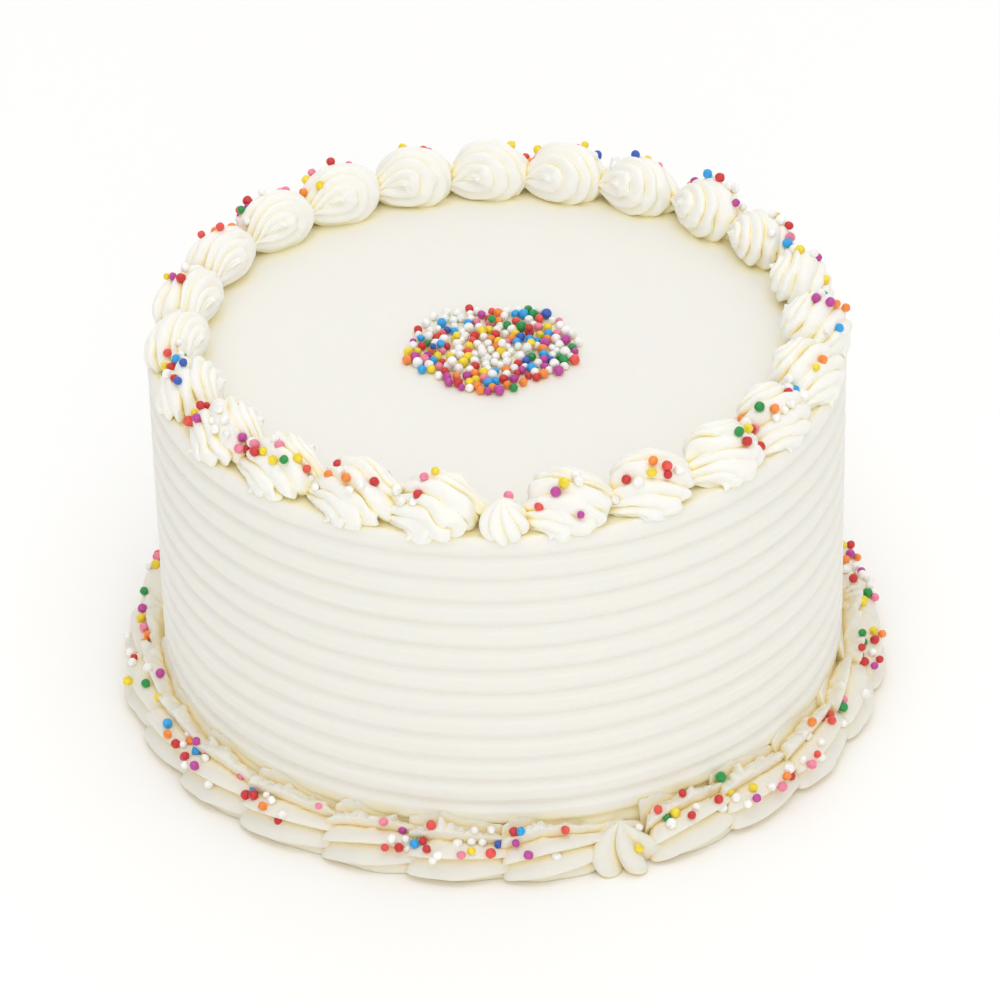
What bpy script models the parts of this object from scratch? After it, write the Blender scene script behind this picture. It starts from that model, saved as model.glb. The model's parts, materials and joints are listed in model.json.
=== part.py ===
"""A round birthday cake in buttercream, with comb ridges round its side, a border of piped loops on the
rim, a border of piped shells round the foot, and coloured sugar pearls on both and in the middle of the top.

Metres, +Z up, the origin under the middle of the base. The front of the cake faces -Y.
Angles round the cake run counterclockwise seen from above, and 0 is the front.
"""

import math
import random

import bmesh
import bpy
from mathutils import Matrix, Vector

# The iced cake
CAKE_RADIUS = 0.098
CAKE_HEIGHT = 0.107
RIM_ROUND = 0.0025
FOOT_ROUND = 0.001
CAKE_STEPS = 36

# The grooves that the icing comb leaves in the side
GROOVE_PITCH = 0.0075
GROOVE_DEPTH = 0.0014
GROOVE_COUNT = 13
TOP_GROOVE_HEIGHT = 0.1010
LAND_SHARE = 0.5

# The loops on the rim: tilted discs of nested hooks, each with its round end over the tail of the one before
LOOP_RIDGES = 4
LOOP_TURNS = 9
LOOP_CREASE = 0.15
LOOP_HEAD = 0.0114
LOOP_TAIL = 0.0170
LOOP_HALF_HEIGHT = 0.0077
LOOP_HALF_WIDTH = 0.0106
LOOP_BLUNTNESS = 0.85
LOOP_EDGE_SHARPNESS = 2.5
LOOP_TAIL_FULLNESS = 0.5
LOOP_BACK_GROWTH = 0.30
LOOP_BACK_SHIFT = 0.0045
LOOP_TAIL_THINNING = 2.8
LOOP_TAIL_NARROWING = 0.22
LOOP_EYE_SHIFT = 0.0030
LOOP_DROOP = 0.0035
LOOP_YAW = math.radians(18)
LOOP_LEAN = math.radians(-20)

# The shells round the foot: each has a blunt head, long lobes one above the other, and a tail
SHELL_ROWS = [math.radians(row) for row in (6, 32, 80, 118, 145, 165)]
SHELL_LOBES = 10
SHELL_OPEN_LOBES = 4
SHELL_FIRST_LOBE = math.radians(-14)
SHELL_LOBE_EDGE = 0.12
SHELL_HIDDEN_TURNS = [math.radians(turn) for turn in (150, 205, 260, 310)]
SHELL_CREASE = 0.26
SHELL_HEAD = 0.0120
SHELL_HEAD_BLUNTNESS = 0.13
SHELL_TAIL = 0.0200
SHELL_TAIL_BLUNTNESS = 0.35
SHELL_TAPER = 0.28
SHELL_REACH = 0.0120
SHELL_OVER = 1.06
SHELL_UNDER = 0.80

# What the borders share
STAR_LEVELS = (0.0, 0.35, 0.65, 0.90)
STAR_DEPTH = 0.25
STAR_TWIST = 0.9
STAR_WAIST = 0.16
STAR_FULLNESS = 0.8
UNIT_SHAKE = math.radians(0.5)
UNIT_SCALES = (0.97, 1.03)
CLEARANCE = 0.0003
TRIM_DEPTH = 0.030
TRIM_WIDTH = 0.040

# The sugar pearls
PEARL_RADIUS_MIN = 0.00130
PEARL_RADIUS_MAX = 0.00165
PEARL_SINK = 0.35
PATCH_HALF_WIDTH = 0.0245
PATCH_HALF_DEPTH = 0.0205
PATCH_MIDDLE = (-0.0013, -0.0037)
PATCH_CORE_HEIGHT = 0.0014
PATCH_CORE_STEPS = 20
PATCH_CORE_RINGS = ((1.05, -0.5), (0.96, 0.9))
PATCH_PEARLS = 24
PATCH_PEARL_LIFT = 0.0004
PEARL_SEAT_GROOVE = 0.42


class Border:
    """The places of one piped border. Its units run round from the join back to the join."""

    def __init__(self, name, seed, units, join_angle, join_width):
        self.name = name
        self.random = random.Random(seed)
        self.units = units
        self.join_angle = math.radians(join_angle)
        self.join_width = math.radians(join_width)
        self.pitch = (2 * math.pi - self.join_width) / units


def top_border_places():
    """The border on the rim, which hangs over it a little."""
    border = Border("top_border", 11, 23, 0.5, 6.5)
    border.ring_radius = 0.0893
    border.base_height = CAKE_HEIGHT
    border.centre_height = 0.0055
    border.hub_share = 0.50
    border.star_ring = 0.0930
    border.star_radius = 0.0070
    border.star_height = 0.0105
    border.star_lobes = 8
    border.star_crease = 0.24
    return border


def bottom_border_places():
    """The border round the foot: it leans on the side, so its inner half is hidden in it."""
    border = Border("bottom_border", 23, 25, 17.5, 8)
    border.ring_radius = 0.0995
    border.base_height = 0.0
    border.centre_height = 0.0036
    border.hub_share = 0.45
    border.star_ring = 0.1025
    border.star_radius = 0.0115
    border.star_height = 0.0125
    border.star_lobes = 6
    border.star_crease = 0.45
    return border


def blunt(value):
    """A sine or cosine pushed towards 1 and -1, which makes an ellipse fuller."""
    return math.copysign(abs(value) ** LOOP_BLUNTNESS, value)


def backness(angle):
    """0 at the front and the sides, and 1 at the back of the cake."""
    return max(0.0, -math.cos(angle)) ** 2


def on_ring(border, angle, place, radius):
    """A place given along the ring, outwards and up from a unit's centre, bent round a ring of that radius."""
    along, outwards, up = place
    turned = angle + along / radius
    reach = radius + outwards
    return Vector((reach * math.sin(turned), -reach * math.cos(turned),
                   border.base_height + border.centre_height + up))


class Loop:
    """One loop on the rim. Side goes from the outer face, 0, over the edge to the inner face, pi.
    Turn goes round the eye, from the end at the lower angle, 0, over the top. Groove is 1 between two hooks."""

    def __init__(self, border, angle):
        self.border = border
        self.angle = angle
        self.scale = border.random.uniform(*UNIT_SCALES)

    def point(self, side, turn, groove):
        inwards = -math.cos(side)
        inner = 0.5 + 0.5 * math.tanh(LOOP_EDGE_SHARPNESS * inwards)
        tailness = inner * (1 - math.cos(turn)) / 2 + (1 - inner) * (1 + math.cos(turn)) / 2
        tailness *= min(1.0, 2 * abs(inwards))
        full = 1 - LOOP_CREASE * groove
        length = LOOP_HEAD + (LOOP_TAIL - LOOP_HEAD) * tailness
        spread = math.sin(side) ** (1 - LOOP_TAIL_FULLNESS * tailness) * full
        along = -length * blunt(math.cos(turn)) * spread
        along += LOOP_EYE_SHIFT * inwards * abs(inwards)
        height = LOOP_HALF_HEIGHT * (1 + LOOP_BACK_GROWTH * backness(self.angle))
        thinning = abs(math.sin(turn)) ** (LOOP_TAIL_THINNING * tailness)
        rise = height * blunt(math.sin(turn)) * thinning * full * math.sin(side)
        across = LOOP_HALF_WIDTH * blunt(math.cos(side)) * (1 - LOOP_TAIL_NARROWING * tailness)
        outwards = across * math.cos(LOOP_LEAN) - rise * math.sin(LOOP_LEAN)
        up = across * math.sin(LOOP_LEAN) + rise * math.cos(LOOP_LEAN)
        up -= LOOP_DROOP * max(0.0, outwards / LOOP_HALF_WIDTH) ** 2
        place = Vector((along, outwards, up)) * self.scale
        place.rotate(Matrix.Rotation(LOOP_YAW, 3, "Z"))
        radius = self.border.ring_radius - LOOP_BACK_SHIFT * backness(self.angle)
        return on_ring(self.border, self.angle, place, radius)

    def mesh(self):
        sides = 2 * LOOP_RIDGES

        def grid_point(row, column):
            side = math.pi * (row + 1) / sides
            return self.point(side, 2 * math.pi * column / LOOP_TURNS, (row + 1) % 2)

        outer_pole = self.point(0, 0, 0)
        inner_pole = self.point(math.pi, 0, 0)
        return closed_grid(sides - 1, LOOP_TURNS, grid_point, outer_pole, inner_pole)

    def pearl_seat(self, draw):
        side = math.radians(draw.uniform(70, 100))
        turn = math.radians(draw.uniform(75, 105))
        return self.point(side, turn, PEARL_SEAT_GROOVE)


class Shell:
    """One shell at the foot. Row goes from the head's tip, 0, to the tail's end, pi.
    Turn goes once round its length, from outwards over the top. Groove is 1 under the edge of a lobe."""

    def __init__(self, border, angle):
        self.border = border
        self.angle = angle
        self.scale = border.random.uniform(*UNIT_SCALES)

    def point(self, row, turn, groove):
        if row < math.pi / 2:
            along = -SHELL_HEAD * math.cos(row)
            size = math.sin(row) ** SHELL_HEAD_BLUNTNESS
        else:
            along = -SHELL_TAIL * math.cos(row)
            size = abs(math.sin(row)) ** SHELL_TAIL_BLUNTNESS * (1 + SHELL_TAPER * math.cos(row))
        reach = SHELL_REACH * size * (1 - SHELL_CREASE * groove)
        rise = math.sin(turn) * (SHELL_OVER if math.sin(turn) > 0 else SHELL_UNDER)
        place = Vector((along, reach * math.cos(turn), reach * rise)) * self.scale
        return on_ring(self.border, self.angle, place, self.border.ring_radius)

    def mesh(self):
        lobe_width = 2 * math.pi / SHELL_LOBES
        turns = []
        for lobe in range(SHELL_OPEN_LOBES):
            start = SHELL_FIRST_LOBE + lobe_width * lobe
            turns += [(start, 1), (start + SHELL_LOBE_EDGE * lobe_width, 0)]
        turns += [(turn, 0) for turn in SHELL_HIDDEN_TURNS]

        def grid_point(row, column):
            turn, groove = turns[column]
            return self.point(SHELL_ROWS[row], turn, groove)

        head_tip = self.point(0, 0, 0)
        tail_end = self.point(math.pi, 0, 0)
        return closed_grid(len(SHELL_ROWS), len(turns), grid_point, head_tip, tail_end)

    def pearl_seat(self, draw):
        row = math.radians(draw.uniform(60, 120))
        turn = math.radians(draw.uniform(35, 75))
        return self.point(row, turn, PEARL_SEAT_GROOVE)


def closed_grid(rows, columns, point, first_pole, last_pole):
    """A closed mesh of rows that run round between two poles."""
    mesh = bmesh.new()
    grid = [[mesh.verts.new(point(row, column)) for column in range(columns)] for row in range(rows)]
    start = mesh.verts.new(first_pole)
    end = mesh.verts.new(last_pole)
    for column in range(columns):
        beside = (column + 1) % columns
        mesh.faces.new((start, grid[0][column], grid[0][beside]))
        mesh.faces.new((end, grid[-1][beside], grid[-1][column]))
        for row in range(rows - 1):
            mesh.faces.new((grid[row][column], grid[row + 1][column],
                            grid[row + 1][beside], grid[row][beside]))
    bmesh.ops.recalc_face_normals(mesh, faces=mesh.faces)
    return mesh


def star_mesh(border):
    """The star that closes a border, squeezed out with the nozzle held upright."""

    def point(row, column):
        level = STAR_LEVELS[row]
        share = math.sin(math.pi * (STAR_WAIST + (1 - STAR_WAIST) * level)) ** STAR_FULLNESS
        reach = border.star_radius * share * (1 - border.star_crease * (column % 2))
        turn = math.pi * column / border.star_lobes + STAR_TWIST * level
        return star_place(reach, turn, level)

    def star_place(reach, turn, level):
        angle = border.join_angle + reach * math.cos(turn) / border.star_ring
        radius = border.star_ring + reach * math.sin(turn)
        height = border.base_height + border.star_height * (level - STAR_DEPTH * (1 - level))
        return Vector((radius * math.sin(angle), -radius * math.cos(angle), height))

    foot = star_place(0, 0, 0)
    tip = star_place(0, 0, 1)
    return closed_grid(len(STAR_LEVELS), 2 * border.star_lobes, point, foot, tip)


def pearl_mesh(radius):
    """A sugar pearl with few sides."""
    mesh = bmesh.new()
    bmesh.ops.create_icosphere(mesh, subdivisions=1, radius=radius)
    return mesh


def turned_mesh(profile, steps):
    """The solid that an open outline from the axis back to the axis sweeps round Z."""
    mesh = bmesh.new()
    points = [mesh.verts.new((0, -radius, height)) for radius, height in profile]
    edges = [mesh.edges.new(pair) for pair in zip(points, points[1:])]
    bmesh.ops.spin(mesh, geom=points + edges, cent=(0, 0, 0), axis=(0, 0, 1),
                   angle=2 * math.pi, steps=steps, use_merge=True)
    bmesh.ops.remove_doubles(mesh, verts=mesh.verts, dist=1e-6)
    bmesh.ops.recalc_face_normals(mesh, faces=mesh.faces)
    return mesh


def add_object(name, mesh, matrix=None, collection=None):
    """Links a bmesh as an object of that name."""
    data = bpy.data.meshes.new(name)
    mesh.to_mesh(data)
    mesh.free()
    item = bpy.data.objects.new(name, data)
    (collection or bpy.context.scene.collection).objects.link(item)
    if matrix is not None:
        item.matrix_world = matrix
    return item


def icing_material(name, colour, roughness):
    """Buttercream: off white, not metallic, with a soft sheen."""
    material = bpy.data.materials.new(name)
    material.use_nodes = True
    shader = material.node_tree.nodes["Principled BSDF"]
    shader.inputs["Base Color"].default_value = (*colour, 1)
    shader.inputs["Roughness"].default_value = roughness
    shader.inputs["Metallic"].default_value = 0
    return material


def keep_largest_body(item):
    """Drops loose scraps, and the inner walls of any hollow that fusing has sealed."""
    mesh = bmesh.new()
    mesh.from_mesh(item.data)
    left = set(mesh.faces)
    bodies = []
    while left:
        front = [left.pop()]
        body = list(front)
        while front:
            for edge in front.pop().edges:
                found = [face for face in edge.link_faces if face in left]
                left.difference_update(found)
                front += found
                body += found
        bodies.append(body)
    bodies.sort(key=len)
    for body in bodies[:-1]:
        bmesh.ops.delete(mesh, geom=body, context="FACES")
    mesh.to_mesh(item.data)
    mesh.free()


def apply_modifiers(item):
    """Makes the evaluated mesh the object's own."""
    graph = bpy.context.evaluated_depsgraph_get()
    applied = bpy.data.meshes.new_from_object(item.evaluated_get(graph))
    item.modifiers.clear()
    item.data = applied


def fuse(item, pieces, cutter=None):
    """Joins every object of the collection to the item, trims it by the cutter, and removes both."""
    join = item.modifiers.new("fuse", "BOOLEAN")
    join.operation = "UNION"
    join.operand_type = "COLLECTION"
    join.collection = pieces
    join.solver = "MANIFOLD"
    if cutter:
        trim = item.modifiers.new("trim", "BOOLEAN")
        trim.operation = "DIFFERENCE"
        trim.object = cutter
        trim.solver = "MANIFOLD"
    apply_modifiers(item)
    for piece in list(pieces.objects):
        bpy.data.objects.remove(piece)
    bpy.data.collections.remove(pieces)
    if cutter:
        bpy.data.objects.remove(cutter)
    keep_largest_body(item)


def new_pieces(name):
    """An empty collection for the pieces that one Boolean joins."""
    pieces = bpy.data.collections.new(name)
    bpy.context.scene.collection.children.link(pieces)
    return pieces


def groove_profile(crest_radius):
    """The comb's wave down the side, as (radius, height) from the lowest groove up."""
    half_groove = GROOVE_PITCH * (1 - LAND_SHARE) / 2
    points = []
    for number in reversed(range(GROOVE_COUNT)):
        middle = TOP_GROOVE_HEIGHT - number * GROOVE_PITCH
        points.append((crest_radius, middle - half_groove))
        points.append((crest_radius - GROOVE_DEPTH, middle))
        points.append((crest_radius, middle + half_groove))
    return points


def cake_profile():
    """The iced cake's outline from the middle of the base, up the side, to the middle of the top."""
    outline = [(0, 0), (CAKE_RADIUS - FOOT_ROUND, 0), (CAKE_RADIUS, FOOT_ROUND)]
    outline += groove_profile(CAKE_RADIUS)
    for step in range(3):
        turn = math.radians(45 * step)
        outline.append((CAKE_RADIUS - RIM_ROUND * (1 - math.cos(turn)),
                        CAKE_HEIGHT - RIM_ROUND * (1 - math.sin(turn))))
    return outline + [(0, CAKE_HEIGHT)]


def patch_edge(angle):
    """The uneven outline of the pearls in the middle of the top."""
    ragged = 1 + 0.05 * math.sin(3 * angle + 0.6) + 0.05 * math.sin(5 * angle + 2.1)
    return ragged / math.hypot(math.cos(angle) / PATCH_HALF_WIDTH, math.sin(angle) / PATCH_HALF_DEPTH)


def patch_core_mesh():
    """The low bed of the pearls that the larger ones stand on."""

    def point(row, column):
        share, level = PATCH_CORE_RINGS[row]
        angle = 2 * math.pi * column / PATCH_CORE_STEPS
        reach = patch_edge(angle) * share
        return Vector((reach * math.cos(angle), reach * math.sin(angle), level * PATCH_CORE_HEIGHT))

    under = Vector((0, 0, PATCH_CORE_RINGS[0][1] * PATCH_CORE_HEIGHT))
    middle = Vector((0, 0, PATCH_CORE_HEIGHT))
    return closed_grid(len(PATCH_CORE_RINGS), PATCH_CORE_STEPS, point, under, middle)


def make_cake(material):
    """The iced cake with the patch of pearls on its top."""
    draw = random.Random(5)
    cake = add_object("iced_cake", turned_mesh(cake_profile(), CAKE_STEPS))
    pieces = new_pieces("cake_pieces")
    on_top = Matrix.Translation((*PATCH_MIDDLE, CAKE_HEIGHT))
    add_object("patch_core", patch_core_mesh(), on_top, pieces)
    golden_turn = math.pi * (3 - math.sqrt(5))
    for number in range(PATCH_PEARLS):
        angle = number * golden_turn
        reach = patch_edge(angle) * math.sqrt((number + 0.5) / PATCH_PEARLS)
        radius = draw.uniform(PEARL_RADIUS_MIN, PEARL_RADIUS_MAX)
        height = PATCH_CORE_HEIGHT + radius * (1 - 2 * PEARL_SINK) + draw.uniform(0, PATCH_PEARL_LIFT)
        spot = Matrix.Translation((reach * math.cos(angle), reach * math.sin(angle), height))
        twist = Matrix.Rotation(draw.uniform(0, 1), 4, "X") @ Matrix.Rotation(draw.uniform(0, 1), 4, "Y")
        add_object("patch_pearl", pearl_mesh(radius), on_top @ spot @ twist, pieces)
    fuse(cake, pieces)
    cake.data.materials.append(material)
    return cake


def top_trim():
    """The top and the rounded rim of the cake, with a clearance."""
    outline = [(0, CAKE_HEIGHT - TRIM_DEPTH)]
    for step in range(-1, 3):
        turn = math.radians(45 * max(0, step))
        round_reach = RIM_ROUND + CLEARANCE
        drop = TRIM_DEPTH - RIM_ROUND if step < 0 else 0
        outline.append((CAKE_RADIUS - RIM_ROUND + round_reach * math.cos(turn),
                        CAKE_HEIGHT - RIM_ROUND - drop + round_reach * math.sin(turn)))
    return outline + [(0, CAKE_HEIGHT + CLEARANCE)]


def bottom_trim():
    """The cake's side with a clearance, and what lies under the level of its base."""
    radius = CAKE_RADIUS + CLEARANCE
    wide = CAKE_RADIUS + TRIM_WIDTH
    base = [(0, -TRIM_DEPTH), (wide, -TRIM_DEPTH), (wide, 0)]
    return base + [(radius, 0), (radius, TRIM_DEPTH), (0, TRIM_DEPTH)]


def make_border(border, unit_kind, trim_profile, material):
    """A ring of units closed by a star, with a pearl on each, cut to fit what carries it."""
    draw = border.random
    pieces = new_pieces(border.name + "_pieces")
    for number in range(border.units):
        angle = border.join_angle + border.join_width / 2 + border.pitch * (number + border.hub_share)
        unit = unit_kind(border, angle + draw.uniform(-UNIT_SHAKE, UNIT_SHAKE))
        add_object("unit", unit.mesh(), collection=pieces)
        size = draw.uniform(PEARL_RADIUS_MIN, PEARL_RADIUS_MAX)
        seat = unit.pearl_seat(draw)
        centre = on_ring(border, unit.angle, (0, 0, 0), border.ring_radius)
        lift = (seat - centre).normalized() * size * (1 - 2 * PEARL_SINK)
        add_object("pearl", pearl_mesh(size), Matrix.Translation(seat + lift), pieces)
    ring = add_object(border.name, star_mesh(border))
    cutter = add_object(border.name + "_trim", turned_mesh(trim_profile, CAKE_STEPS))
    cutter.hide_render = True
    cutter.display_type = "WIRE"
    fuse(ring, pieces, cutter)
    ring.data.materials.append(material)
    return ring


def main():
    for item in list(bpy.data.objects):
        bpy.data.objects.remove(item)
    smooth_icing = icing_material("smooth_icing", (0.92, 0.90, 0.83), 0.45)
    piped_icing = icing_material("piped_icing", (0.93, 0.91, 0.84), 0.42)
    make_cake(smooth_icing)
    make_border(top_border_places(), Loop, top_trim(), piped_icing)
    make_border(bottom_border_places(), Shell, bottom_trim(), piped_icing)


main()
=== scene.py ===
# %% [markdown]
# # A birthday cake in buttercream
# This lesson dresses a plain solid of a round cake. The real cake is iced smooth on top, combed into even
# ridges round its side, piped with loops round the rim and with shells round the foot, and strewn with
# small coloured sugar pearls. The plain solid is loaded first and stays fixed, because everything else is
# measured from it.

# %% Load the plain solid
import json
import math
import random

import bmesh
import bpy
import numpy as np
from mathutils import Matrix, Vector, noise
from mathutils.bvhtree import BVHTree

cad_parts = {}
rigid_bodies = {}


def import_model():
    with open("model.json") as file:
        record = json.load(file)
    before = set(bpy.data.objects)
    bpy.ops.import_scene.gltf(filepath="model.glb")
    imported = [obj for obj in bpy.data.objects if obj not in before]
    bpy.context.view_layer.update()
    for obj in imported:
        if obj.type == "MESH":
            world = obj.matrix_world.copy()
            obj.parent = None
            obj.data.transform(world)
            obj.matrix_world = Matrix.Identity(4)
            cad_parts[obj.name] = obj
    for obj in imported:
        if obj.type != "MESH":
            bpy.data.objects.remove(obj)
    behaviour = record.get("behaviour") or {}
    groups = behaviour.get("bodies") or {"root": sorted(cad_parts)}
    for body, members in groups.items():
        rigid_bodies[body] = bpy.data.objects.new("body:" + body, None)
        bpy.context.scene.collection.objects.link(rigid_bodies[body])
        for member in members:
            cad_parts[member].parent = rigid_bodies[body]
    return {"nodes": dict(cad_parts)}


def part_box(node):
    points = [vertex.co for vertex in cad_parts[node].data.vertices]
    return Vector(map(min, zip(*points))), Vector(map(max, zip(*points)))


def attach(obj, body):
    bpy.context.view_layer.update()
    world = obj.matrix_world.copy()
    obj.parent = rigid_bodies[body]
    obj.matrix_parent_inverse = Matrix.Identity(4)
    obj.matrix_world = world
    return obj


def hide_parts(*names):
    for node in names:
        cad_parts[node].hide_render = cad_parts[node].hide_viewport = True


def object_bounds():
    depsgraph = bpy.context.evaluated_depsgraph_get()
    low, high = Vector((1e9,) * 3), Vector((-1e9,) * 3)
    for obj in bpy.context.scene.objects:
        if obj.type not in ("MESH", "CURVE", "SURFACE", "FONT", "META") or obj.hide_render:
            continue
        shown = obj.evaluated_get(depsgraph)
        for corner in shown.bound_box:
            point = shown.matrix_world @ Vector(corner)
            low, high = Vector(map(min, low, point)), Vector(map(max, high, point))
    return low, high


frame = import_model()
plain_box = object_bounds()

print("plain solids:", sorted(frame["nodes"]))
print("box in metres:", [[round(value, 4) for value in corner] for corner in plain_box])

# %% [markdown]
# ## Measures
# A baker would note the tin, the height and the comb. Here they come from the solid's own box where it
# has them. Angles round the cake run counterclockwise seen from above, and 0 is the front, which faces
# -Y.

# %% Measure the cake
cake_low, cake_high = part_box("iced_cake")
cake_radius = (cake_high[0] - cake_low[0]) / 2
top_height = 0.107
comb_pitch = 0.0075
comb_depth = 0.0014
comb_grooves = 13
top_groove_height = 0.1010
rim_round = 0.0025
print(f"cake {2000 * cake_radius:.0f} mm across, flat top at {1000 * top_height:.0f} mm")


def round_the_cake(angle, radius, height):
    """The place at an angle round the cake, a distance from its axis and a height."""
    return Vector((radius * math.sin(angle), -radius * math.cos(angle), height))


# %% [markdown]
# ## From points to a mesh
# Most pieces here are grids of points that a rule gives: one row after another, closed into a ring. One
# helper turns such a grid into faces and turns them outwards, so each piece only has to say where its
# points are.

# %% Make grids into meshes
def mesh_piece(name, points, faces):
    """A smooth shaded object from points and faces."""
    data = bpy.data.meshes.new(name)
    data.from_pydata([tuple(point) for point in points], [], faces)
    data.shade_smooth()
    piece = bpy.data.objects.new(name, data)
    bpy.context.scene.collection.objects.link(piece)
    return piece


def ring_faces(rows, columns):
    """Faces of a closed grid of rings between a first and a last pole, which come after the grid."""
    first_pole = rows * columns
    last_pole = first_pole + 1
    faces = []
    for column in range(columns):
        beside = (column + 1) % columns
        faces.append((first_pole, column, beside))
        faces.append((last_pole, (rows - 1) * columns + beside, (rows - 1) * columns + column))
        for row in range(rows - 1):
            here = row * columns
            below = here + columns
            faces.append((here + column, below + column, below + beside, here + beside))
    return faces


def face_outwards(piece):
    """Turns every face of a closed piece outwards."""
    mesh = bmesh.new()
    mesh.from_mesh(piece.data)
    bmesh.ops.recalc_face_normals(mesh, faces=mesh.faces)
    mesh.to_mesh(piece.data)
    mesh.free()


def closed_piece(name, rings, poles):
    """A closed piece whose skin runs over rings of points, from a first to a last pole."""
    points = [point for ring in rings for point in ring]
    piece = mesh_piece(name, points + poles, ring_faces(len(rings), len(rings[0])))
    face_outwards(piece)
    return piece


def even_steps(count, whole):
    """Steps of the same size up to but without the whole."""
    return [whole * step / count for step in range(count)]


print("3 rings of 8 points are closed with", len(ring_faces(3, 8)), "faces")

# %% [markdown]
# ## The iced body
# The real side is scraped with a comb while the cake turns, which leaves soft round ridges with narrow
# valleys. The hand never holds quite still, so each valley wanders a little and is shallower in some
# places. The body could be a lathe shape with a bump map, but the ridges catch the light at the outline
# too, so they are real shape: an outline is turned round the axis, and a smooth wander is added that
# never goes outside the plain solid.

# %% Shape the combed side
groove_width = 0.62
comb_wander = 0.00025
side_grain = 0.00010
wander = random.Random(4)
wander_waves = []
for turns in (1, 2, 3, 5, 7):
    wander_waves.append((turns, wander.uniform(0, 2 * math.pi), wander.uniform(0.4, 1.0)))


def slow_wander(angle, shift):
    """A slow unevenness round the cake, from about -1 to 1, that differs from height to height."""
    total = 0
    for turns, phase, size in wander_waves:
        total += size * math.sin(turns * angle + phase + shift * (turns + 1))
    return total / 3


def comb_wave(share):
    """The depth of the comb's groove over one pitch: 0 on the broad ridge and 1 in the soft valley."""
    off_valley = abs((share + 0.5) % 1 - 0.5) * 2
    return (0.5 + 0.5 * math.cos(math.pi * min(1.0, off_valley / groove_width))) ** 1.1


def side_point(angle, height):
    """A point on the combed side."""
    lift = comb_wander * slow_wander(angle, height * 60)
    share = (top_groove_height - height - lift) / comb_pitch
    below_last = max(0.0, share - comb_grooves + 0.6)
    above_first = max(0.0, -0.45 - share)
    fade = max(0.0, 1 - 3 * below_last) * max(0.0, 1 - 4 * above_first)
    strength = 0.9 + 0.12 * slow_wander(angle, height * 23 + 2)
    grain = noise.noise(Vector((9 * angle, 260 * height, 3.0)))
    depth = comb_depth * strength * fade * comb_wave(share)
    radius = cake_radius - depth - side_grain * (1 + grain)
    return round_the_cake(angle, radius, height)


valley = side_point(0, top_groove_height - 3 * comb_pitch)
print("the front valley is", round(-1000 * valley.y, 1), "mm from the axis")

# %% [markdown]
# ## The top and the rim
# The top was smoothed with a spatula, which leaves faint sweeps that only show where light grazes them. A
# bump in the material could show them too, but the rings that make the side can simply run on over the
# rounded rim and in to the middle. So the body is one closed skin without a seam.

# %% Shape the top and close the body
body_steps = 360
side_steps = 165
rim_steps = 8
top_steps = 48
spatula_sweep = 0.00016
spatula_ripple = 0.00004


def top_point(angle, radius):
    """A point on the flat top, with the faint sweeps that a spatula leaves."""
    place = round_the_cake(angle, radius, 0)
    sweep = noise.noise(Vector((place.x * 14, place.y * 34, 1.5)))
    ripple = noise.noise(Vector((place.x * 60, place.y * 110, 7.5)))
    place.z = top_height - spatula_sweep * (1 + sweep) - spatula_ripple * (1 + ripple)
    return place


def body_rings():
    """The rings of the body from the foot up the side and in over the top, as functions of the angle."""
    foot_round = 0.001
    rings = [lambda angle: round_the_cake(angle, cake_radius - foot_round, 0.0)]
    side_top = top_height - rim_round
    for step in range(side_steps + 1):
        height = foot_round + (side_top - foot_round) * step / side_steps
        rings.append(lambda angle, height=height: side_point(angle, height))
    for step in range(1, rim_steps):
        turn = math.radians(90) * step / rim_steps
        radius = cake_radius - 0.0002 - rim_round * (1 - math.cos(turn))
        height = side_top + rim_round * math.sin(turn) - 0.0001
        rings.append(lambda angle, radius=radius, height=height: round_the_cake(angle, radius, height))
    for step in range(top_steps):
        radius = (cake_radius - rim_round - 0.0003) * (1 - step / top_steps)
        rings.append(lambda angle, radius=radius: top_point(angle, radius))
    return rings


def make_iced_body():
    """The closed body of the cake."""
    angles = even_steps(body_steps, 2 * math.pi)
    rings = [[ring(angle) for angle in angles] for ring in body_rings()]
    return closed_piece("iced_body", rings, [Vector((0, 0, 0)), top_point(0, 0)])


iced_body = make_iced_body()
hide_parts("iced_cake")
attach(iced_body, "root")
print("iced body:", len(iced_body.data.polygons), "faces")

# %% [markdown]
# ## Piped with a star nozzle
# A star nozzle leaves a rope of icing with round ridges and sharp creases between them. Round the rim the
# hand went round in small loops, and round the foot it made a row of shells. Each unit could be modelled
# by hand, but there are nearly fifty of them, so a rule makes each kind. All the sizes that the rules
# need are kept together here, where they can be changed in one place.

# %% Describe a border
class Border:
    """The sizes of one piped border. Its units run round from the join back to the join."""

    def __init__(self, node, seed, units, join_angle, join_width):
        self.node = node
        self.random = random.Random(seed)
        self.units = units
        self.join_angle = math.radians(join_angle)
        self.join_width = math.radians(join_width)
        self.pitch = (2 * math.pi - self.join_width) / units


rim_border = Border("top_border", 11, 23, 0.5, 6.5)
rim_border.ring_radius = 0.0893
rim_border.back_shift = 0.0045
rim_border.base_height = top_height
rim_border.centre_height = 0.0055
rim_border.head_length = 0.0114
rim_border.tail_length = 0.0170
rim_border.tail_thinning = 2.8
rim_border.half_height = 0.0077
rim_border.back_growth = 0.30
rim_border.half_width = 0.0106
rim_border.eye_shift = 0.0030
rim_border.droop = 0.0035
rim_border.yaw = math.radians(18)
rim_border.lean = math.radians(-20)
rim_border.ridges = 8
rim_border.crease_depth = 0.20
rim_border.crease_roundness = 0.9
rim_border.crease_unevenness = 0.9
rim_border.tail_droop = 0.0070
rim_border.tail_narrowing = 0.22
rim_border.strand_wander = 0.12
rim_border.strand_smear = 0.14
rim_border.swell = 0.0005
rim_border.fine_swell = 0.0002
rim_border.star_ring = 0.0930
rim_border.star_radius = 0.0070
rim_border.star_height = 0.0105
rim_border.star_lobes = 8
rim_border.star_crease = 0.26

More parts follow.
